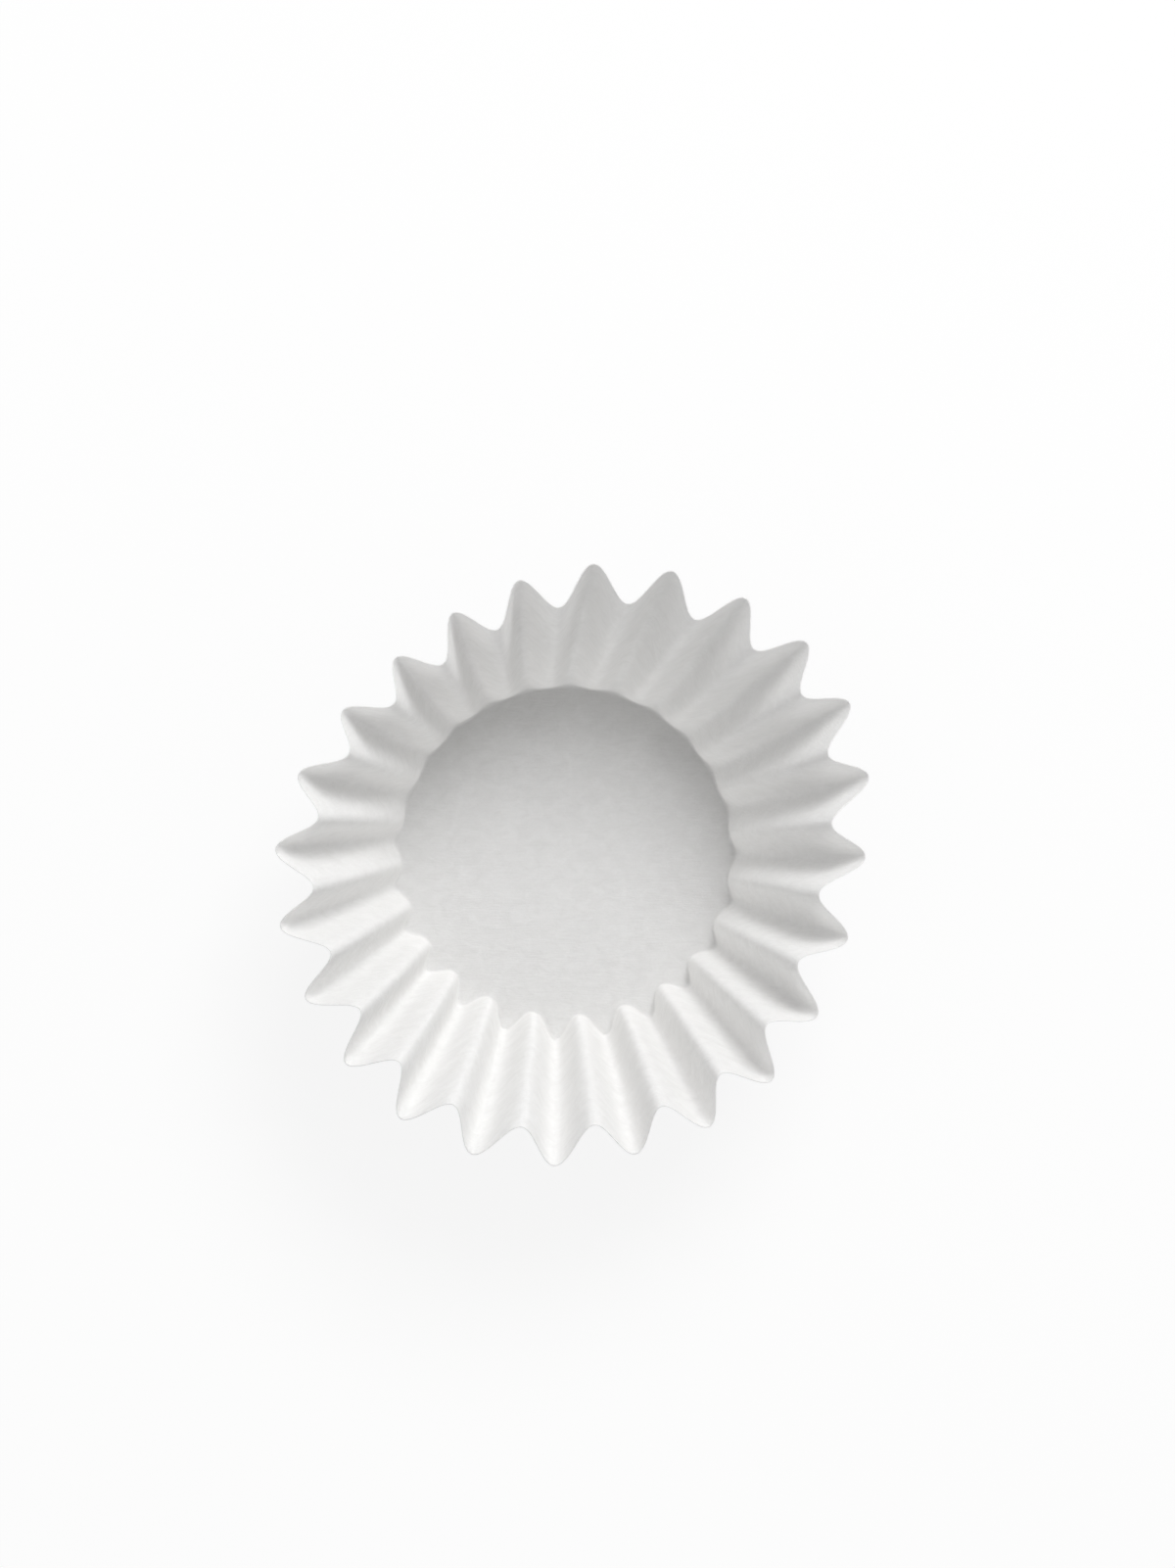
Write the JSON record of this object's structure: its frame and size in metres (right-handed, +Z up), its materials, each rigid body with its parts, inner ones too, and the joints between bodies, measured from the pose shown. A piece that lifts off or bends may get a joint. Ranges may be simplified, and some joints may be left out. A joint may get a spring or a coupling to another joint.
{
  "type": "coffee filter",
  "caption": "Flat-bottomed basket coffee filter: one round sheet of soft white paper pressed into an open cup with a fluted, outward-leaning wall.",
  "frame": {"origin": "centre of the flat bottom, on its underside", "axes": "+Z up out of the open cup; an outward fold lies along +X to within about 2 degrees, and the rim is a little longer at about 48 degrees from +X towards +Y"},
  "size_m": [0.1418, 0.1435, 0.0637],
  "materials": {
    "paper": "matt soft filter paper, white, faintly cloudy and fibrous, lets some light through"
  },
  "bodies": {
    "root": {"filter_paper": "paper"}
  },
  "joints": []
}
